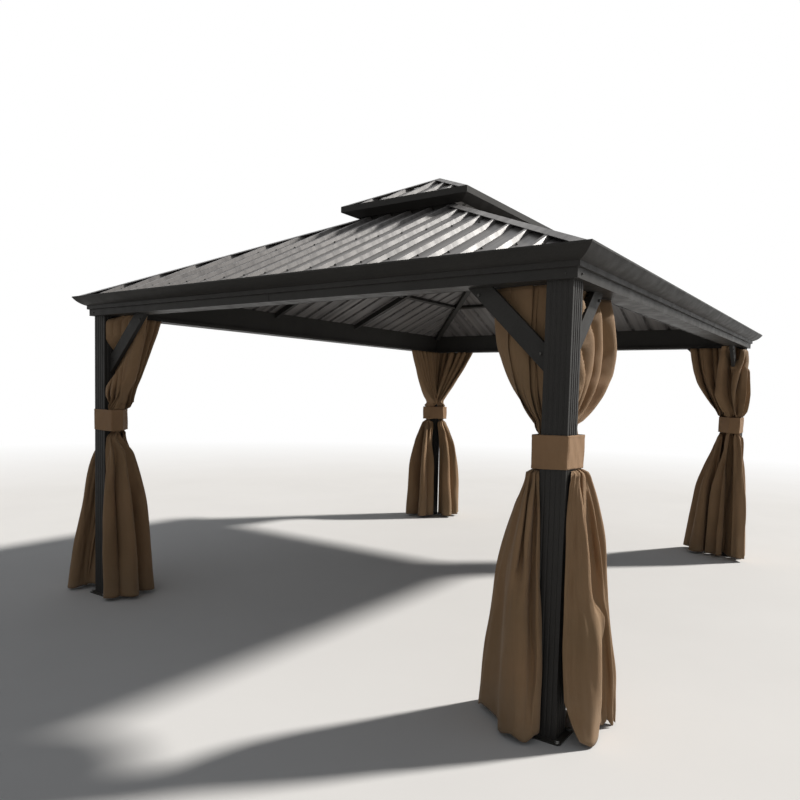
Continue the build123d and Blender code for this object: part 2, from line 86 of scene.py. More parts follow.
class Shader:
    """A material with a Principled BSDF, and short ways to add nodes to it."""

    def __init__(self, name):
        self.material = bpy.data.materials.new(name)
        self.material.use_nodes = True
        self.tree = self.material.node_tree
        self.surface = self.tree.nodes["Principled BSDF"]
        self.place = self.tree.nodes.new("ShaderNodeTexCoord")

    def node(self, kind, **values):
        made = self.tree.nodes.new(kind)
        for key, value in values.items():
            setattr(made, key, value)
        return made

    def link(self, source, target):
        self.tree.links.new(source, target)

    def feed(self, sockets, values):
        """Sets each socket to a number or colour, or links it to another node's output."""
        for socket, value in zip(sockets, values):
            if isinstance(value, (int, float)):
                socket.default_value = value
            elif isinstance(value, tuple):
                socket.default_value = (*value, 1)
            else:
                self.link(value, socket)

    def split(self, vector):
        parts = self.node("ShaderNodeSeparateXYZ")
        self.link(vector, parts.inputs[0])
        return parts.outputs

    def stretched(self, scale, coords="Object"):
        mapping = self.node("ShaderNodeMapping")
        mapping.inputs["Scale"].default_value = scale
        self.link(self.place.outputs[coords], mapping.inputs["Vector"])
        return mapping.outputs["Vector"]

    def noise(self, scale, detail=4.0, roughness=0.55, vector=None):
        made = self.node("ShaderNodeTexNoise")
        made.inputs["Scale"].default_value = scale
        made.inputs["Detail"].default_value = detail
        made.inputs["Roughness"].default_value = roughness
        self.link(vector or self.place.outputs["Object"], made.inputs["Vector"])
        return made.outputs["Fac"]

    def spread(self, value, low, high, new_low, new_high):
        """Maps low to high onto new_low to new_high, and holds the ends."""
        made = self.node("ShaderNodeMapRange")
        made.inputs["From Min"].default_value = low
        made.inputs["From Max"].default_value = high
        made.inputs["To Min"].default_value = new_low
        made.inputs["To Max"].default_value = new_high
        self.link(value, made.inputs["Value"])
        return made.outputs["Result"]

    def ramp(self, value, dark, light, high=0.7):
        """Colour from dark, where value is up to 0.3, to light, where it is high or more."""
        made = self.node("ShaderNodeValToRGB")
        for element, place, colour in zip(made.color_ramp.elements, (0.3, high), (dark, light)):
            element.position = place
            element.color = (*colour, 1)
        self.link(value, made.inputs["Fac"])
        return made.outputs["Color"]

    def mix(self, factor, first, second):
        """Mixes two colours, whose sockets are 6 and 7 on this node."""
        made = self.node("ShaderNodeMix", data_type="RGBA")
        self.feed((made.inputs[0], made.inputs[6], made.inputs[7]), (factor, first, second))
        return made.outputs[2]

    def maths(self, operation, first, second=0.0):
        made = self.node("ShaderNodeMath", operation=operation)
        self.feed(made.inputs, (first, second))
        return made.outputs[0]

    def bump(self, height, distance, strength=1.0, under=None):
        """Bump by height, with distance in metres, on top of the normal under it."""
        made = self.node("ShaderNodeBump")
        made.inputs["Distance"].default_value = distance
        made.inputs["Strength"].default_value = strength
        self.link(height, made.inputs["Height"])
        if under:
            self.link(under, made.inputs["Normal"])
        return made.outputs["Normal"]

    def finish(self, colour, roughness, normal=None, **constants):
        self.link(colour, self.surface.inputs["Base Color"])
        self.link(roughness, self.surface.inputs["Roughness"])
        if normal:
            self.link(normal, self.surface.inputs["Normal"])
        for key, value in constants.items():
            self.surface.inputs[key.replace("_", " ")].default_value = value
        return self.material


# Fine-textured dark powder coat, with a little dust on what faces up and faint rain marks
def coat_material():
    shader = Shader("powder_coat")
    grain = shader.noise(260, 2, 0.5)
    colour = shader.ramp(shader.noise(1.7, 5), (0.0290, 0.0282, 0.0265), (0.0400, 0.0385, 0.0360))
    speck = shader.spread(grain, 0.35, 0.68, 0.0, 0.30)
    colour = shader.mix(speck, colour, (0.070, 0.068, 0.064))
    runs = shader.noise(9, 3, 0.6, shader.stretched((1, 1, 0.06)))
    colour = shader.mix(shader.spread(runs, 0.52, 0.75, 0, 0.2), colour, (0.055, 0.052, 0.047))
    facing = shader.split(shader.node("ShaderNodeNewGeometry").outputs["Normal"])
    upward = shader.spread(facing["Z"], 0.5, 1.0, 0, 0.35)
    dust = shader.maths("MULTIPLY", upward, shader.spread(shader.noise(23, 5), 0.3, 0.7, 0.2, 1))
    colour = shader.mix(dust, colour, (0.12, 0.11, 0.095))
    rough = shader.spread(shader.noise(14, 4), 0.3, 0.7, 0.40, 0.56)
    normal = shader.bump(grain, 0.0006, 0.5)
    normal = shader.bump(shader.noise(6, 2), 0.002, 0.12, normal)
    return shader.finish(colour, rough, normal, IOR=1.45, Specular_IOR_Level=0.14)


# Coated roof sheet: paler than the frame, with streaks that run down the slope, which vary its roughness
# and bump and are painted into its colour as light highlight streaks and dark shade streaks
def sheet_material():
    shader = Shader("roof_sheet")
    colour = shader.ramp(shader.noise(1.1, 5), (0.126, 0.120, 0.118), (0.174, 0.166, 0.162))
    stains = shader.noise(5.5, 6, 0.65)
    colour = shader.mix(shader.spread(stains, 0.5, 0.8, 0, 0.45), colour, (0.185, 0.170, 0.155))
    grain = shader.noise(320, 2)
    colour = shader.mix(shader.spread(grain, 0.4, 0.7, 0, 0.12), colour, (0.16, 0.155, 0.15))
    facing = shader.split(shader.node("ShaderNodeNewGeometry").outputs["Normal"])
    facing_x = shader.maths("ABSOLUTE", facing["X"])
    facing_y = shader.maths("ABSOLUTE", facing["Y"])
    ends = shader.maths("GREATER_THAN", facing_x, facing_y)
    streak_x = shader.noise(1.0, 5, 0.6, shader.stretched((0.35, 16, 0.35)))
    streak_y = shader.noise(1.0, 5, 0.6, shader.stretched((16, 0.35, 0.35)))
    on_ends = shader.maths("MULTIPLY", ends, streak_x)
    on_sides = shader.maths("MULTIPLY", shader.maths("SUBTRACT", 1.0, ends), streak_y)
    streaks_and_painted_light = shader.maths("ADD", on_ends, on_sides)
    # Painted highlight and painted shade: the streaks lighten the colour as glints on the slope and darken
    # it as shade bands
    colour = shader.mix(shader.spread(streaks_and_painted_light, 0.46, 0.72, 0, 0.55), colour, (0.245, 0.233, 0.222))
    colour = shader.mix(shader.spread(streaks_and_painted_light, 0.50, 0.30, 0, 0.6), colour, (0.040, 0.038, 0.038))
    rough = shader.spread(streaks_and_painted_light, 0.3, 0.7, 0.54, 0.40)
    normal = shader.bump(shader.noise(3.5, 3), 0.004, 0.22)
    normal = shader.bump(streaks_and_painted_light, 0.003, 0.20, normal)
    normal = shader.bump(grain, 0.0003, 0.25, normal)
    constants = {"Coat_Weight": 0.08, "Coat_Roughness": 0.30, "Specular_IOR_Level": 0.24}
    return shader.finish(colour, rough, normal, **constants)


# Plain woven polyester: threads from the cloth's own coordinates in metres
def cloth_material(name, dark, light, dusty):
    shader = Shader(name)
    threads = []
    for direction in ("X", "Y"):
        wave = shader.node("ShaderNodeTexWave", wave_type="BANDS", bands_direction=direction)
        wave.inputs["Scale"].default_value = 190
        wave.inputs["Distortion"].default_value = 0.6
        wave.inputs["Detail"].default_value = 1.0
        shader.link(shader.place.outputs["UV"], wave.inputs["Vector"])
        threads.append(wave.outputs["Fac"])
    weave = shader.maths("MULTIPLY", *threads)
    colour = shader.ramp(shader.noise(2.4, 6, 0.6), dark, light)
    slubs = shader.noise(60, 3, 0.5, shader.stretched((1.0, 0.12, 1.0), "UV"))
    colour = shader.mix(shader.spread(slubs, 0.45, 0.75, 0, 0.16), colour, tuple(c * 0.72 for c in dark))
    colour = shader.mix(shader.spread(weave, 0.0, 1.0, 0.16, 0), colour, tuple(c * 0.55 for c in dark))
    if dusty:
        height = shader.split(shader.place.outputs["Object"])["Z"]
        low = shader.spread(height, 0.0, 0.35, 0.34, 0.0)
        spots = shader.maths("MULTIPLY", low, shader.spread(shader.noise(11, 5), 0.35, 0.65, 0.15, 1))
        colour = shader.mix(spots, colour, (0.33, 0.25, 0.17))
    rough = shader.spread(shader.noise(30, 3), 0.3, 0.7, 0.78, 0.92)
    normal = shader.bump(weave, 0.0005, 0.55)
    creases = shader.noise(13, 4, 0.6, shader.stretched((1.0, 0.45, 1.0), "UV"))
    normal = shader.bump(creases, 0.006, 0.30, normal)
    constants = {"Sheen_Weight": 0.08, "Sheen_Roughness": 0.5, "Specular_IOR_Level": 0.25}
    return shader.finish(colour, rough, normal, **constants)


# Blackened steel of the roof screws and frame bolts
def bolt_material():
    shader = Shader("blackened_steel")
    colour = shader.ramp(shader.noise(45, 4), (0.018, 0.018, 0.018), (0.06, 0.057, 0.053), 0.75)
    rough = shader.spread(shader.noise(90, 3), 0.3, 0.7, 0.3, 0.52)
    normal = shader.bump(shader.noise(400, 2), 0.0002, 0.4)
    return shader.finish(colour, rough, normal, Metallic=0.85)


# Zinc-plated steel of the anchor bolts
def zinc_material():
    shader = Shader("zinc_plate")
    colour = shader.ramp(shader.noise(60, 4), (0.15, 0.15, 0.145), (0.26, 0.26, 0.25), 0.75)
    rough = shader.spread(shader.noise(70, 3), 0.3, 0.7, 0.28, 0.5)
    return shader.finish(colour, rough, shader.bump(shader.noise(300, 2), 0.0002, 0.3), Metallic=1.0)


# Black nylon of the curtain gliders
def nylon_material():
    shader = Shader("nylon")
    colour = shader.ramp(shader.noise(80, 3), (0.03, 0.03, 0.03), (0.055, 0.052, 0.05))
    rough = shader.spread(shader.noise(50, 3), 0.3, 0.7, 0.4, 0.55)
    return shader.finish(colour, rough, shader.bump(shader.noise(200, 2), 0.0002, 0.3))


def disc_mesh(name, radii, sides):
    """Flat disc of rings of quads round a fan of triangles."""
    points = [(0, 0, 0)]
    for radius in radii:
        for step in range(sides):
            angle = 2 * math.pi * step / sides
            points.append((radius * math.cos(angle), radius * math.sin(angle), 0))
    faces = [(0, 1 + step, 1 + (step + 1) % sides) for step in range(sides)]
    for ring in range(len(radii) - 1):
        base = 1 + ring * sides
        for step in range(sides):
            after = (step + 1) % sides
            faces.append((base + step, base + sides + step, base + sides + after, base + after))
    mesh = bpy.data.meshes.new(name)
    mesh.from_pydata(points, [], faces)
    return mesh


# Wide pale floor that turns into the white backdrop far from the object
def make_floor():
    mesh = disc_mesh("floor", [3.0, 6.0, 10.0, 16.0, 30.0, 60.0, 120.0], 64)
    floor = bpy.data.objects.new("floor", mesh)
    bpy.context.scene.collection.objects.link(floor)
    shader = Shader("floor_pale")
    pale = shader.ramp(shader.noise(0.8, 4), (0.775, 0.77, 0.76), (0.80, 0.795, 0.785))
    rough = shader.spread(shader.noise(5, 3), 0.3, 0.7, 0.75, 0.9)
    rays = shader.node("ShaderNodeLightPath").outputs
    seen = shader.maths("MAXIMUM", rays["Is Camera Ray"], rays["Is Glossy Ray"])
    seen = shader.maths("MAXIMUM", seen, rays["Is Transmission Ray"])
    shader.finish(shader.mix(seen, (0.44, 0.435, 0.43), pale), rough, Specular_IOR_Level=0.1)
    length = shader.node("ShaderNodeVectorMath", operation="LENGTH")
    shader.link(shader.place.outputs["Object"], length.inputs[0])
    fade = shader.spread(length.outputs["Value"], 6.5, 15.0, 0, 1)
    fade = shader.maths("MULTIPLY", fade, seen)
    glow = shader.node("ShaderNodeEmission")
    both = shader.node("ShaderNodeMixShader")
    shader.feed(both.inputs, (fade, shader.surface.outputs[0], glow.outputs[0]))
    shader.link(both.outputs[0], shader.tree.nodes["Material Output"].inputs["Surface"])
    mesh.materials.append(shader.material)


# White where it is seen or mirrored, and a weak cool light from all round otherwise
def make_world():
    world = bpy.data.worlds.new("world")
    bpy.context.scene.world = world
    world.use_nodes = True
    tree = world.node_tree
    tree.nodes.clear()
    rays = tree.nodes.new("ShaderNodeLightPath").outputs
    seen = rays["Is Camera Ray"]
    for kind in ("Is Glossy Ray", "Is Transmission Ray"):
        either = tree.nodes.new("ShaderNodeMath")
        either.operation = "MAXIMUM"
        tree.links.new(seen, either.inputs[0])
        tree.links.new(rays[kind], either.inputs[1])
        seen = either.outputs[0]
    mixed = tree.nodes.new("ShaderNodeMixShader")
    tree.links.new(seen, mixed.inputs[0])
    for socket, colour, strength in ((1, (0.93, 0.96, 1.0, 1), 0.17), (2, (1, 1, 1, 1), 1.0)):
        light = tree.nodes.new("ShaderNodeBackground")
        light.inputs["Color"].default_value = colour
        light.inputs["Strength"].default_value = strength
        tree.links.new(light.outputs[0], mixed.inputs[socket])
    output = tree.nodes.new("ShaderNodeOutputWorld")
    tree.links.new(mixed.outputs[0], output.inputs["Surface"])


# A key lamp from the right, as the sun stands in the photograph, and a faint fill from the left
def make_lamps():
    lamps = (
        ("key", Vector((6.0, -4.5, 5.3)), 4.5, 5.0, (1.0, 0.965, 0.92)),
        ("fill", Vector((-7.0, -2.0, 4.0)), 0.12, 60.0, (0.95, 0.97, 1.0)),
    )
    for name, place, strength, spread, colour in lamps:
        data = bpy.data.lights.new(name, "SUN")
        data.energy = strength
        data.angle = math.radians(spread)
        data.color = colour
        lamp = bpy.data.objects.new(name, data)
        lamp.location = place
        lamp.rotation_euler = (-place).to_track_quat("-Z", "Y").to_euler()
        bpy.context.scene.collection.objects.link(lamp)


def curve_between(levels, heights):
    """Values at heights between levels, on smooth curves that don't overshoot them."""
    levels = sorted(levels, key=lambda row: row[0])
    z = np.array([row[0] for row in levels])
    values = np.array([row[1] for row in levels], float).reshape(len(levels), -1)
    gaps = np.diff(z)[:, None]
    steps = np.diff(values, axis=0) / gaps
    slopes = np.zeros_like(values)
    same = steps[1:] * steps[:-1] > 0
    total = np.where(same, steps[1:] + steps[:-1], 1)
    slopes[1:-1] = np.where(same, 2 * steps[1:] * steps[:-1] / total, 0)
    slopes[0] = steps[0]
    slopes[-1] = steps[-1]
    heights = np.clip(heights, z[0], z[-1])
    index = np.clip(np.searchsorted(z, heights, side="right") - 1, 0, len(z) - 2)
    span = gaps[index]
    t = ((heights - z[index]) / span[:, 0])[:, None]
    low, high = values[index], values[index + 1]
    return (
        low * (2 * t**3 - 3 * t**2 + 1)
        + high * (3 * t**2 - 2 * t**3)
        + slopes[index] * span * (t**3 - 2 * t**2 + t)
        + slopes[index + 1] * span * (t**3 - t**2)
    )


def ease(x):
    """Smooth step from 0 to 1."""
    x = np.clip(x, 0, 1)
    return x * x * (3 - 2 * x)


def spline(points, s):
    """Smooth curve through plan points, at shares s of its run, with its unit tangents."""
    count = len(points)
    padded = np.vstack([2 * points[0] - points[1], points, 2 * points[-1] - points[-2]])
    place = np.clip(s, 0, 1) * (count - 1)
    index = np.minimum(place.astype(int), count - 2)
    t = (place - index)[:, None]
    a, b, c, d = (padded[index + k] for k in range(4))
    path = 0.5 * (2 * b + (c - a) * t + (2 * a - 5 * b + 4 * c - d) * t**2 + (3 * b - a - 3 * c + d) * t**3)
    ahead = np.gradient(path, axis=0)
    ahead /= np.maximum(np.linalg.norm(ahead, axis=1), 1e-9)[:, None]
    return path, ahead


def to_row(plan, corner, lengthwise):
    """Places in the frame of points (along, across, z) that are measured inward from a corner."""
    x_sign, y_sign = corners[corner]
    along, across, z = plan[..., 0], plan[..., 1], plan[..., 2]
    if lengthwise:
        x, y = x_sign * (half_length - along), y_sign * (half_width - across)
    else:
        x, y = x_sign * (half_length - across), y_sign * (half_width - along)
    return np.stack([x, y, z], axis=-1)


# The post's faces with the cloth's clearance, in metres along and across from a corner, and the
# least distance along for cloth that hangs round a brace
post_near_side, post_far_side = 0.022, 0.1505
beside_post = 0.153

# A knee brace lies between these heights at along 0, rises by 1 m for each metre along and ends at
# brace_end. Cloth hangs inside brace_inner, or round the brace on both sides of brace_faces
brace_low, brace_high = 1.468, 1.614
brace_end = 0.57
brace_inner = 0.111
brace_faces = (0.055, 0.1075)


def keep_clear(plan, z, inside_brace):
    """Moves a row's plan points at height z off the post and the brace."""
    low, high = post_near_side, post_far_side
    inside = (plan[:, 0] > low) & (plan[:, 0] < high) & (plan[:, 1] > low) & (plan[:, 1] < high)
    depths = np.stack([high - plan[:, 0], plan[:, 1] - low, high - plan[:, 1]], axis=1)
    way = np.argmin(depths, axis=1)
    plan[inside & (way == 0), 0] = high
    plan[inside & (way == 1), 1] = low
    plan[inside & (way == 2), 1] = high
    along = plan[:, 0]
    away = np.maximum(brace_low + along - z, z - brace_high - along)
    away = np.maximum(np.maximum(away, along - brace_end), 0)
    if inside_brace:
        past_post = along > 0.145
        near_brace = brace_inner - 0.9 * np.maximum(away - 0.012, 0)
        plan[:, 1] = np.maximum(plan[:, 1], np.where(past_post, near_brace, -1))
    else:
        outer, inner = brace_faces
        past_post = along > 0.14
        in_brace = (away <= 0) & past_post & (plan[:, 1] < inner) & (plan[:, 1] > outer)
        plan[in_brace, 1] = inner
    return plan


# Top edge of the cloth in the track, and the flat width and height that each curtain is cut to
cloth_top = 2.0328
flat_sizes = {"long_side": (1.80, 2.03), "short_side": (1.42, 2.03)}

# Share of a row's fine pleats that has opened into broad folds, by height
looseness = [(0.0, 1.0), (0.6, 1.0), (0.95, 0.65), (1.15, 0.2), (1.2, 0.0), (2.03, 0.0)]


def row_heights(rows):
    """Heights of a curtain's rows from the track to the ground, closer together near the band."""
    above = 1 - np.linspace(0, 1, int(rows * 0.36), endpoint=False) ** 0.9
    z_above = band_high + (cloth_top - band_high) * above
    z_band = np.linspace(band_high, band_low, int(rows * 0.08), endpoint=False)
    below = np.linspace(0, 1, rows - len(z_above) - len(z_band)) ** 1.15
    return np.concatenate([z_above, z_band, band_low - band_low * below])


def fold_waves(spec, phase, z, loose):
    """Swing of a row's folds across its path and along it, and the phase of its broad folds."""
    start = spec["phase"]
    drift = 0.16 * math.sin(2.1 * z + start * 5) + 0.05 * math.sin(7.3 * z + start * 9)
    fine = 2 * np.pi * (spec["folds"] * phase + start + drift)
    wide = 2 * np.pi * (spec["broad"] * phase**1.6 + 0.1 + drift * 0.4)
    rounded = np.sin(fine) - 0.12 * np.sin(3 * fine)
    crested = 1.75 - 2.25 * (np.sin(fine / 2) ** 2 + 0.03) ** 0.25
    pleats = rounded * (1 - spec["flatness"]) + crested * spec["flatness"]
    wave = (1 - loose) * pleats + loose * np.sin(wide)
    side = (1 - loose) * np.cos(fine) + loose * np.cos(wide)
    return wave, side, wide


def fold_envelope(spec, s, z, loose):
    """Depth of a row's folds at shares s of its run, and how far each is on the hidden part."""
    tucked = band_low - 0.05 < z < band_high + 0.05
    gathered = np.sqrt(np.maximum(1 - (2 * s - 1) ** 2 * (0.9 if tucked else 0.25), 0.05))
    hidden = ease((s - spec["shown"]) / 0.12)
    calm = ease(s / 0.09) * (spec["outer"] + (1 - spec["outer"]) * hidden) * ease((1 - s) / 0.12)
    return gathered * (1 - loose) + calm * loose, hidden


def fit_width(path, shift, width, deepest):
    """Swings a path by the depth, at most deepest, that makes it as long as the cloth is wide."""
    low, high = 0.0, deepest
    for _ in range(18):
        depth = (low + high) / 2
        run = np.linalg.norm(np.diff(path + shift * depth, axis=0), axis=1).sum()
        if run < width:
            low = depth
        else:
            high = depth
    return path + shift * depth


def draw_in(plan, waist_width):
    """Draws a row's points into the bunch that the band holds, an ellipse beside the post."""
    middle = np.array((150 + waist_width / 2, 86)) / 1000
    radii = np.array((waist_width / 2 - 1.5, 52.5)) / 1000
    away = np.linalg.norm((plan - middle) / radii, axis=1)
    drawn = middle + (plan - middle) / np.maximum(away, 1)[:, None]
    return np.where(away[:, None] > 1, drawn, plan)


def curtain_rows(spec, rows, columns):
    """Grid of points (along, across, z) of one gathered curtain."""
    rng = np.random.default_rng(spec["seed"])
    z_rows = row_heights(rows)
    s = np.linspace(0, 1, columns)
    wander = 0.026 * np.sin(2 * np.pi * (1.7 * s + rng.random()))
    wander = spec["wild"] * (wander + 0.014 * np.sin(2 * np.pi * (3.9 * s + rng.random())))
    phase = s + wander * np.sin(np.pi * s)
    paths = curve_between([(z, np.array(points, float).ravel()) for z, points in spec["paths"]], z_rows)
    paths = paths.reshape(len(z_rows), -1, 2) / 1000
    looses = curve_between(looseness, z_rows)[:, 0]
    deepest = curve_between(spec["limit"], z_rows)[:, 0] / 1000
    leans = curve_between(spec["lean"], z_rows)[:, 0]
    strengths = 1 + spec["wild"] * (0.9 * rng.random(int(spec["folds"] * 2) + 3) - 0.45)
    each = np.interp(phase * spec["folds"] * 2, np.arange(len(strengths)), strengths)
    hem = np.interp(s, *zip(*spec["hem"])) / 1000
    margin = 0.004
    grid = np.zeros((len(z_rows), columns, 3))
    for row, z in enumerate(z_rows):
        path, ahead = spline(paths[row], s)
        normal = np.stack([-ahead[:, 1], ahead[:, 0]], axis=1)
        wave, side, wide = fold_waves(spec, phase, z, looses[row])
        envelope, hidden = fold_envelope(spec, s, z, looses[row])
        shift = normal * (wave * each * envelope)[:, None]
        shift += ahead * (side * each * envelope * leans[row])[:, None]
        plan = fit_width(path, shift, spec["flat"][0], deepest[row])
        if band_low - margin <= z <= band_high + margin:
            plan = draw_in(plan, spec["waist_width"])
        if z > band_high + margin and not spec["inside_brace"]:
            plan[:, 0] = np.maximum(plan[:, 0], beside_post)
        fallen = max(0.0, (band_low - z) / band_low)
        grid[row, :, :2] = keep_clear(plan, z, spec["inside_brace"])
        grid[row, :, 2] = z + (hem + 0.012 * np.sin(wide) * (1 - hidden)) * fallen**3
    return grid


def wrinkle(grid, seed, flat, amount=0.0022):
    """Small soft wrinkles along the folds, pushed along the surface's normal."""
    rng = np.random.default_rng(seed)
    rows, columns, _ = grid.shape
    u = np.linspace(0, 1, columns)[None, :] * flat[0]
    v = np.linspace(0, 1, rows)[:, None] * flat[1]
    height = np.zeros((rows, columns))
    for _ in range(26):
        turn = rng.normal(0, 0.42)
        length = rng.uniform(0.05, 0.22)
        wave = 2 * np.pi / length * (u * math.cos(turn) + v * math.sin(turn) * 0.55)
        patch = np.sin(2 * np.pi * (u * rng.uniform(0.3, 1.4) + rng.random()))
        patch = patch * np.sin(2 * np.pi * (v * rng.uniform(0.3, 1.2) + rng.random()))
        height += np.sin(wave + rng.uniform(0, 6.28)) * patch * length / 0.13
    height *= amount / height.std()
    rise = np.gradient(grid, axis=0)
    run = np.gradient(grid, axis=1)
    normal = np.cross(run, rise)
    normal /= np.maximum(np.linalg.norm(normal, axis=2, keepdims=True), 1e-9)
    z = grid[:, :, 2]
    at_top = np.clip((2.02 - z) / 0.1, 0, 1)
    at_band = np.clip(np.abs(z - (band_low + band_high) / 2) / 0.12, 0.15, 1)
    at_hem = np.clip(z / 0.08, 0.2, 1)
    return grid + normal * (height * (at_top * at_band * at_hem))[:, :, None]


def line(start, end, count):
    """Evenly spaced plan points from start to end, in millimetres."""
    start = np.array(start)
    ahead = np.array(end) - start
    return [tuple(start + ahead * k / (count - 1)) for k in range(count)]


# Usual plan of a curtain just below the band, in millimetres
usual_ring = [(150, 22), (165, 5), (185, 0), (208, 5), (230, 40), (215, 110), (180, 140)]

# Most depth of the folds, in millimetres, and how far they lean over along their path, by height
usual_limit = [
    (0.0, 84), (0.6, 74), (0.85, 58), (1.04, 32), (1.165, 12), (1.207, 14), (1.213, 46), (1.37, 50),
    (1.6, 56), (1.9, 42), (2.03, 36),
]
usual_lean = [(0.0, 0.3), (1.2, 0.0), (1.4, 0.1), (1.7, 0.9), (2.03, 1.5)]

# Plan of the track's slot, and the first place on it, in millimetres
track_across = 141
track_start = 152

specs = {}


def add_spec(
    corner, run, edges, foot, waist_width=84.5, out=0.0, upper=(), waist_path=None,
    knees=None, ring=usual_ring, spread=(0.0, 0.3, 0.5, 0.72, 0.88), **changes
):
    """Collects one curtain from its outline: lengths in millimetres, heights in metres.

    edges gives the far edge by height above the band, which moves outward by out from the track
    down, and foot the hem's path in plan. upper and knees are whole paths above and below the band.
    Without knees, the paths below the band spread from ring to foot.
    """
    far = 150 + waist_width
    count = len(foot)
    paths = []
    for z, edge in edges:
        share = min(max((2.03 - z) / 0.4, 0), 1)
        paths.append((z, line((track_start, track_across), (edge, track_across - out * share), count)))
    paths += upper
    if not waist_path:
        paths.append((1.377, line((track_start, 98), (far + 14, 92), count)))
        waist_path = line((track_start, 86), (far - 2, 86), count)
    paths += [(1.360, waist_path), (1.214, waist_path)]
    if not knees:
        start = np.array(ring)
        knees = []
        for z, share in zip((1.16, 1.04, 0.85, 0.60, 0.30), spread):
            knees.append((z, start + (np.array(foot) - start) * share))
    paths += knees
    paths.append((0.0, foot))
    long_run = run == "long_side"
    specs[corner, run] = {
        "paths": paths,
        "flat": flat_sizes[run],
        "waist_width": waist_width,
        "limit": usual_limit,
        "lean": usual_lean,
        "folds": 7.5 if long_run else 5.5,
        "broad": 4.0 if long_run else 3.2,
        "phase": 0.2,
        "flatness": 0.0,
        "wild": 1.0,
        "shown": 0.3,
        "outer": 0.36,
        "hem": [(0, 28), (1, 26)],
        "inside_brace": True,
        **changes,
    }


def with_back(shown, far, inner):
    """Adds the half of a row's path that faces the inside to the folds that show, 15 points in all."""
    tip = shown[-1]
    turn = [(tip[0] + 18, tip[1] + 45), (tip[0], tip[1] + 110), (far, inner)]
    return shown + turn + line((far - 60, inner + 25), (205, 165), 12 - len(shown))


def loop_foot(far):
    """A foot that runs round from the post's outer side to its inner side."""
    return [(158, 16), (190, -64), (290, -80), (far - 40, -36), (far, 60), (390, 185), (240, 165)]


# Near post, where the outer folds of both curtains follow the photograph one by one
add_spec(
    "front_left", "short_side",
    [(2.03, 430), (1.90, 428), (1.77, 420), (1.698, 400), (1.58, 350), (1.487, 290), (1.42, 235)],
    with_back([
        (90, -8), (90, -58), (105, -76), (130, -96), (178, -108), (255, -62), (310, 20), (430, 95),
    ], 430, 230),
    waist_width=32.5, seed=5, phase=0.30, flatness=0.9, folds=5.3, shown=0.5, outer=0.06, broad=7.4,
    limit=[
        (0.0, 90), (0.6, 80), (0.85, 62), (1.04, 36), (1.165, 14), (1.207, 14), (1.213, 46), (1.37, 40),
        (1.6, 56), (1.9, 55), (2.03, 50),
    ],
    knees=[
        (1.195, [
            (148, 18), (150, 6), (154, 20), (158, 5), (170, 20), (180, 5), (192, 22), (202, 22),
            (205, 45), (202, 70), (198, 90), (192, 108), (184, 122), (174, 134), (160, 140),
        ]),
        (1.165, [
            (146, 18), (149, 4), (154, 20), (158, 2), (172, 20), (182, 2), (196, 20), (208, 20),
            (212, 45), (208, 70), (204, 90), (196, 108), (186, 122), (175, 134), (160, 140),
        ]),
        (1.04, with_back([
            (135, 15), (136, -4), (158, 22), (160, -24), (184, 15), (190, -26), (220, 14), (248, 12),
        ], 240, 130)),
        (0.85, with_back([
            (125, 10), (130, -18), (166, 20), (168, -42), (196, -10), (208, -54), (260, 10), (298, 22),
        ], 290, 150)),
        (0.70, with_back([
            (115, 8), (120, -30), (164, 12), (162, -52), (190, -58), (228, -60), (288, 22), (328, 34),
        ], 320, 165)),
        (0.58, with_back([
            (105, 5), (112, -36), (158, 0), (156, -64), (188, -88), (238, -64), (292, 24), (344, 42),
        ], 335, 180)),
        (0.30, with_back([
            (90, 0), (92, -50), (120, -34), (140, -80), (182, -102), (246, -70), (302, 20), (392, 62),
        ], 385, 205)),
    ],
)

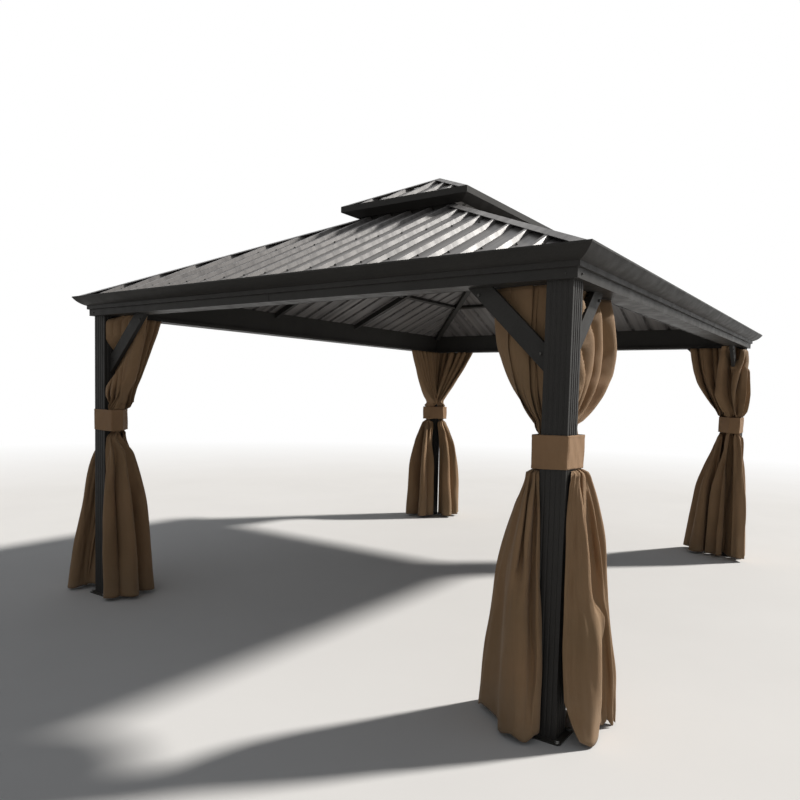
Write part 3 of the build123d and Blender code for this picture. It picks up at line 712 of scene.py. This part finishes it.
add_spec(
    "front_left", "long_side",
    [
        (2.03, 862), (1.90, 800), (1.78, 812), (1.65, 735),
        (1.59, 645), (1.52, 560), (1.46, 470), (1.41, 340),
    ],
    with_back([
        (5, -15), (6, -60), (38, -98), (86, -118), (215, -112), (300, -92), (312, -110), (335, -132),
        (362, -128),
    ], 420, 120),
    seed=8, out=28.0, phase=0.35, shown=0.77, outer=0.05, folds=4.1, broad=7.9, wild=1.1,
    lean=[(0.0, 0.3), (1.2, 0.0), (1.4, 0.2), (1.7, 0.6), (2.03, 0.9)],
    limit=[
        (0.0, 125), (0.6, 112), (0.85, 80), (1.04, 44), (1.165, 14), (1.207, 14), (1.213, 46), (1.37, 46),
        (1.6, 84), (1.9, 76), (2.03, 42),
    ],
    hem=[(0, 190), (0.06, 95), (0.12, 30), (0.2, 20), (1, 26)],
    knees=[
        (1.198, [
            (60, 12), (78, 8), (96, 4), (114, 6), (132, 2), (152, 12), (170, 4), (188, 8), (206, 8),
            (220, 32), (224, 60), (220, 92), (210, 116), (192, 132), (170, 140),
        ]),
        (1.165, [
            (48, 10), (66, 6), (86, 0), (106, 0), (126, -6), (152, 10), (173, -10), (194, -4),
            (216, -10), (230, 30), (234, 60), (228, 92), (215, 118), (195, 134), (170, 142),
        ]),
        (1.04, with_back([
            (34, 8), (50, -2), (66, -16), (84, -28), (106, -34), (146, 0), (165, -22), (186, -44),
            (222, -46),
        ], 235, 125)),
        (0.85, with_back([
            (20, 8), (36, -12), (52, -32), (76, -48), (110, -60), (165, -20), (186, -52), (206, -76),
            (248, -76),
        ], 270, 140)),
        (0.70, with_back([
            (15, 8), (30, -14), (46, -38), (76, -62), (115, -78), (175, -38), (200, -70), (226, -90),
            (268, -86),
        ], 300, 145)),
        (0.61, with_back([
            (12, 6), (28, -18), (46, -48), (78, -78), (128, -94), (180, -62), (204, -84), (238, -98),
            (286, -90),
        ], 320, 150)),
        (0.54, with_back([
            (10, 4), (26, -22), (46, -56), (84, -92), (150, -112), (205, -104), (225, -104), (254, -106),
            (300, -96),
        ], 335, 150)),
        (0.40, with_back([
            (8, 2), (24, -24), (42, -58), (84, -106), (158, -128), (236, -84), (250, -98), (280, -116),
            (318, -108),
        ], 360, 150)),
        (0.20, with_back([
            (5, -6), (14, -38), (32, -74), (84, -116), (176, -126), (272, -78), (286, -104), (306, -132),
            (348, -126),
        ], 395, 140)),
    ],
)

# Right post, where the long side's curtain hangs bunched round the brace
add_spec(
    "front_right", "long_side",
    [(2.03, 440)],
    [(350, 20), (320, -80), (210, -85), (150, -10), (165, 140), (270, 185), (350, 150)],
    seed=13, spread=(0.0, 0.18, 0.42, 0.70, 0.86), outer=0.7, shown=0.7, folds=6.5,
    ring=[(232, 70), (222, 20), (185, 0), (155, 30), (162, 120), (205, 142), (232, 112)],
    waist_path=[(228, 64), (205, 48), (176, 50), (157, 80), (172, 122), (204, 126), (226, 108)],
    inside_brace=False,
    upper=[
        (2.005, [(290, 48), (212, 30), (168, 58), (168, 112), (218, 148), (300, 160), (410, 150)]),
        (1.97, [(310, 46), (224, 26), (168, 60), (170, 116), (222, 156), (300, 168), (400, 155)]),
        (1.90, [(332, 54), (236, 20), (172, 66), (174, 124), (230, 170), (295, 180), (380, 165)]),
        (1.80, [(348, 72), (300, 12), (190, 14), (164, 80), (190, 158), (265, 190), (350, 176)]),
        (1.60, [(325, 100), (290, 16), (190, 10), (160, 80), (190, 160), (260, 190), (318, 178)]),
        (1.50, [(285, 96), (262, 26), (186, 14), (158, 74), (184, 146), (240, 168), (280, 156)]),
        (1.42, [(242, 84), (222, 34), (180, 24), (158, 68), (176, 126), (216, 138), (240, 126)]),
    ],
)

add_spec(
    "front_right", "short_side",
    [(2.03, 490), (1.85, 462), (1.70, 418), (1.60, 366), (1.48, 290), (1.42, 245)],
    [(158, 16), (190, -76), (300, -98), (400, -88), (420, 20), (365, 165), (250, 165)],
    waist_width=70.2, seed=21, spread=(0.0, 0.12, 0.38, 0.66, 0.85),
)

# Left post
add_spec(
    "back_left", "long_side",
    [(2.03, 488), (1.904, 440), (1.749, 375), (1.60, 310), (1.50, 258), (1.42, 236)],
    [(90, -15), (0, -108), (-34, -170), (44, -208), (215, -185), (380, 0), (350, 155)],
    seed=34, spread=(0.0, 0.34, 0.5, 0.64, 0.84),
)

add_spec(
    "back_left", "short_side",
    [(2.03, 466)],
    [(170, 80), (200, 34), (255, -10), (312, 5), (330, 120), (300, 260), (215, 270)],
    seed=55, spread=(0.0, 0.48, 0.64, 0.78, 0.9), outer=0.25,
    upper=[
        (2.00, [(154, 55), (172, 92), (204, 128), (262, 141), (330, 141), (396, 141), (455, 141)]),
        (1.86, [(154, 48), (174, 82), (208, 122), (262, 138), (320, 141), (376, 141), (432, 141)]),
        (1.72, [(154, 112), (176, 118), (210, 128), (250, 138), (292, 141), (336, 141), (380, 141)]),
        (1.60, [(154, 64), (172, 86), (200, 112), (232, 130), (264, 140), (294, 141), (322, 141)]),
        (1.47, [(152, 36), (166, 52), (184, 74), (202, 96), (218, 114), (234, 126), (248, 132)]),
    ],
    ring=[(160, 62), (170, 42), (188, 32), (210, 34), (230, 54), (215, 110), (180, 140)],
)

# Far post, whose curtains show only in part
add_spec(
    "back_right", "long_side",
    [(2.03, 715), (1.85, 620), (1.70, 535), (1.60, 460), (1.50, 370), (1.42, 275)],
    loop_foot(far=400), seed=89, spread=(0.0, 0.35, 0.7, 0.86, 0.95),
)

add_spec(
    "back_right", "short_side",
    [(2.03, 665), (1.85, 550), (1.70, 440), (1.60, 370), (1.50, 295), (1.42, 244)],
    loop_foot(far=390), seed=144, spread=(0.0, 0.35, 0.7, 0.86, 0.95),
)


def add_object(name, mesh, material):
    mesh.materials.append(material)
    made = bpy.data.objects.new(name, mesh)
    bpy.context.scene.collection.objects.link(made)
    return made


def grid_object(name, grid, uv_size, material, closed=False):
    """Cloth from a grid of points by row and column, with its UVs in metres of flat cloth."""
    rows, columns, _ = grid.shape
    last = columns if closed else columns - 1
    u = np.linspace(0, uv_size[0], last + 1)
    v = np.linspace(uv_size[1], 0, rows)
    faces = []
    coords = []
    for row in range(rows - 1):
        here = row * columns
        for column in range(last):
            after = (column + 1) % columns
            faces.append((here + column, here + after, here + columns + after, here + columns + column))
            coords += (u[column], v[row], u[column + 1], v[row])
            coords += (u[column + 1], v[row + 1], u[column], v[row + 1])
    mesh = bpy.data.meshes.new(name)
    mesh.from_pydata(grid.reshape(-1, 3).tolist(), [], faces)
    mesh.uv_layers.new(name="UVMap").data.foreach_set("uv", coords)
    mesh.polygons.foreach_set("use_smooth", [True] * len(mesh.polygons))
    return add_object(name, mesh, material)


def thicken(piece, thickness):
    solid = piece.modifiers.new("thickness", "SOLIDIFY")
    solid.thickness = thickness
    solid.offset = 0.0


def make_curtains(material):
    made = {}
    rows, columns = 122, 176
    for (corner, run), spec in specs.items():
        grid = wrinkle(curtain_rows(spec, rows, columns), spec["seed"], spec["flat"])
        grid = to_row(grid, corner, run == "long_side")
        curtain = grid_object(f"hung_curtain_{corner}_{run}", grid, spec["flat"], material)
        thicken(curtain, 0.0012)
        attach(curtain, "root")
        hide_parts(f"curtain_{corner}_{run}")
        made[corner, run] = curtain
    return made


def band_outline(waist_x, waist_y):
    """Corners in plan, in millimetres, of a loop round the post and both bunches of cloth."""
    gap = 0.3
    near = 26 - gap
    bunch_start, bunch_centre, bunch_depth = 150, 86, 110
    far_x, far_y = bunch_start + gap + waist_x, bunch_start + gap + waist_y
    reach = 0.0
    for waist in (waist_x, waist_y):
        middle = bunch_start + waist / 2 + bunch_centre
        reach = max(reach, middle + math.hypot(waist, bunch_depth) / 2 + gap * math.sqrt(2))
    return [(near, near), (far_x, near), (far_x, reach - far_x), (reach - far_y, far_y), (near, far_y)]


def rounded_loop(outline, radius, lift, spacing):
    """Points in plan along an outline with rounded corners, all lifted outward."""
    outline = [Vector(p) for p in outline]
    points = []
    for index, point in enumerate(outline):
        before = (outline[index - 1] - point).normalized()
        after = (outline[(index + 1) % len(outline)] - point).normalized()
        half = before.angle(after) / 2
        centre = point + (before + after).normalized() * (radius / math.sin(half))
        first = point + before * (radius / math.tan(half)) - centre
        last = point + after * (radius / math.tan(half)) - centre
        for step in range(7):
            points.append(centre + first.lerp(last, step / 6).normalized() * (radius + lift))
    dense = []
    for index, point in enumerate(points):
        after = points[(index + 1) % len(points)]
        pieces = max(1, int((after - point).length // spacing))
        for step in range(pieces):
            dense.append(point.lerp(after, step / pieces))
    return np.array([list(p) for p in dense])


def make_band(corner, waist_x, waist_y, material):
    """Tie band: a loop of doubled cloth round the post and both bunches, with its lap and hems."""
    path = rounded_loop(band_outline(waist_x, waist_y), radius=3.0, lift=1.6, spacing=3.5) / 1000
    ahead = np.roll(path, -1, axis=0) - np.roll(path, 1, axis=0)
    ahead /= np.linalg.norm(ahead, axis=1)[:, None]
    outward = np.stack([ahead[:, 1], -ahead[:, 0]], axis=1)
    rows = 30
    s = np.arange(len(path)) / len(path)
    grid = np.zeros((rows, len(path), 3))
    for row, z in enumerate(np.linspace(band_high, band_low, rows)):
        v = row / (rows - 1)
        puff = 0.0010 * (1 + np.sin(2 * np.pi * (4 * s + 0.6 * v)))
        puff += 0.0006 * (1 + np.sin(2 * np.pi * (9 * s - 1.1 * v + 0.2)))
        puff += 0.0011 * math.sin(math.pi * v)
        seam = 0.0008 if (v < 0.09 or v > 0.91) else 0.0
        lap = 0.0024 * np.clip((s - 0.03) / 0.004, 0, 1) * np.clip((0.16 + 0.015 * v - s) / 0.004, 0, 1)
        grid[row, :, :2] = path + outward * (puff + seam + lap)[:, None]
        grid[row, :, 2] = z + 0.003 * np.sin(2 * np.pi * (2 * s + 0.15)) * (0.4 + 0.6 * v)
    perimeter = np.linalg.norm(np.diff(np.vstack([path, path[:1]]), axis=0), axis=1).sum()
    grid = to_row(grid, corner, True)
    x_sign, y_sign = corners[corner]
    if x_sign * y_sign < 0:
        grid = grid[:, ::-1, :]
    band = grid_object(f"tie_{corner}", grid, (perimeter, 0.15), material, closed=True)
    thicken(band, 0.002)
    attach(band, "root")
    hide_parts(f"tie_band_{corner}")
    return band, perimeter


def circle(radius, level, sides):
    turns = [2 * math.pi * step / sides for step in range(sides)]
    return [Vector((radius * math.cos(turn), radius * math.sin(turn), level)) for turn in turns]


def add_skin(mesh, rings):
    """Closed skin over rings of points, from the lowest to the highest."""
    rings = [[mesh.verts.new(spot) for spot in ring] for ring in rings]
    sides = len(rings[0])
    for first, second in zip(rings, rings[1:]):
        for step in range(sides):
            after = (step + 1) % sides
            mesh.faces.new((first[step], first[after], second[after], second[step]))
    mesh.faces.new(rings[-1])
    mesh.faces.new(rings[0][::-1])


def add_head(mesh, place, normal, across, washer, height, thick):
    """Hexagon head on a washer, into one mesh."""
    turn = Vector(normal).normalized().to_track_quat("Z", "Y").to_matrix().to_4x4()
    base = Matrix.Translation(Vector(place)) @ turn
    for radius, low, high, sides, bevel in (
        (washer / 2, 0.0, thick, 20, thick * 0.3),
        (across / math.sqrt(3), thick, thick + height, 6, height * 0.18),
    ):
        outline = ((low, radius), (high - bevel, radius), (high, radius - bevel))
        add_skin(mesh, [[base @ spot for spot in circle(size, level, sides)] for level, size in outline])


def mesh_piece(name, mesh, material):
    """Object of many small parts in one mesh, with the given material, held by the root body."""
    data = bpy.data.meshes.new(name)
    mesh.to_mesh(data)
    mesh.free()
    made = add_object(name, data, material)
    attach(made, "root")


def make_roof_screws(material):
    """A screw with a sealing washer beside each rib, near the eave and over the purlins."""
    mesh = bmesh.new()
    slope = math.radians(24.76)
    overhang, pan_height = 0.0855, 2.134
    rib_pitch, beside_rib, hip_margin, lift = 0.178, 0.046, 0.09, 0.0002
    up = Vector((0, 0, 1))
    for normal, half_depth, half_run in (
        (Vector((0, -1, 0)), half_width, half_length),
        (Vector((0, 1, 0)), half_width, half_length),
        (Vector((-1, 0, 0)), half_length, half_width),
        (Vector((1, 0, 0)), half_length, half_width),
    ):
        sideways = up.cross(normal)
        up_slope = normal * math.sin(slope) + up * math.cos(slope)
        for inset in (0.187, 0.831):
            for number in range(-14, 15):
                place = number * rib_pitch - beside_rib
                if abs(place) > half_run + overhang - inset - hip_margin:
                    continue
                spot = normal * (half_depth + overhang - inset) + sideways * -place
                spot.z = pan_height + math.tan(slope) * inset + lift
                add_head(mesh, spot, up_slope, 0.008, 0.016, 0.0055, 0.0028)
    mesh_piece("roof_screws", mesh, material)


def make_frame_bolts(material):
    """Bolts through the braces' ends and screws in the beams' lower bands beside each corner."""
    mesh = bmesh.new()
    brace_sides = (0.086 - 0.0151, 0.086 + 0.0151)
    for corner, (x_sign, y_sign) in corners.items():
        for lengthwise in (True, False):
            outward = (0, y_sign, 0) if lengthwise else (x_sign, 0, 0)
            inward = (0, -y_sign, 0) if lengthwise else (-x_sign, 0, 0)
            for along, z in ((0.180, 1.7205), (0.497, 1.998)):
                for normal, across in zip((outward, inward), brace_sides):
                    spot = to_row(np.array([along, across, z]), corner, lengthwise)
                    add_head(mesh, spot, normal, 0.013, 0.018, 0.0055, 0.0016)
            spot = to_row(np.array([0.052, -0.0002, 2.056]), corner, lengthwise)
            add_head(mesh, spot, outward, 0.008, 0.012, 0.004, 0.0012)
    mesh_piece("frame_bolts", mesh, material)


def make_anchors(material):
    """Anchor bolts through the base plates' holes."""
    mesh = bmesh.new()
    plate_centre_x, plate_centre_y = half_length - 0.086, half_width - 0.086
    hole_offset, plate_top = 0.075, 0.0082
    for x_sign, y_sign in corners.values():
        for dx in (-hole_offset, hole_offset):
            for dy in (-hole_offset, hole_offset):
                spot = (x_sign * plate_centre_x + dx, y_sign * plate_centre_y + dy, plate_top)
                add_head(mesh, spot, (0, 0, 1), 0.0185, 0.024, 0.0078, 0.0022)
    mesh_piece("anchor_bolts", mesh, material)


def make_gliders(material):
    """Nylon gliders that hold each curtain's top edge in the track's slot."""
    mesh = bmesh.new()
    slot_across, slot_height = 0.138, 2.0295
    outline = ((0.0, 0.0016), (0.0015, 0.0027), (0.008, 0.0027), (0.0095, 0.0018))
    for (corner, run), spec in specs.items():
        _, top = max(spec["paths"], key=lambda row: row[0])
        first, last = 158, top[-1][0] - 8
        count = 10 if run == "long_side" else 8
        for number in range(count):
            along = (first + (last - first) * number / (count - 1)) / 1000
            place = np.array([along, slot_across, slot_height])
            place = Vector(to_row(place, corner, run == "long_side"))
            rings = [[place + spot for spot in circle(radius, level, 10)] for level, radius in outline]
            add_skin(mesh, rings)
    mesh_piece("curtain_gliders", mesh, material)


# Studio, and the finish of the nodes that stay in view
make_camera()
make_floor()
make_world()
make_lamps()
coat = coat_material()
sheet = sheet_material()
for name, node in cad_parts.items():
    if not node.material_slots:
        node.data.materials.append(None)
    for holder in node.material_slots:
        holder.material = sheet if "panel" in name or "cap" in name else coat

# Cloth: the curtains and tie bands, made once all the pieces that they rest on are there
khaki = cloth_material("curtain_weave", (0.268, 0.172, 0.092), (0.345, 0.212, 0.116), True)
tie = cloth_material("tie_weave", (0.300, 0.180, 0.096), (0.360, 0.221, 0.120), False)
curtains = make_curtains(khaki)
for corner in corners:
    widths = [specs[corner, run]["waist_width"] for run in ("long_side", "short_side")]
    make_band(corner, *widths, tie)
for (corner, run), curtain in curtains.items():
    side = corner.split("_")[0] if run == "long_side" else corner.split("_")[1]

# Small fasteners
black = bolt_material()
make_roof_screws(black)
make_frame_bolts(black)
make_anchors(zinc_material())
make_gliders(nylon_material())

bpy.context.scene.view_settings.view_transform = "Standard"
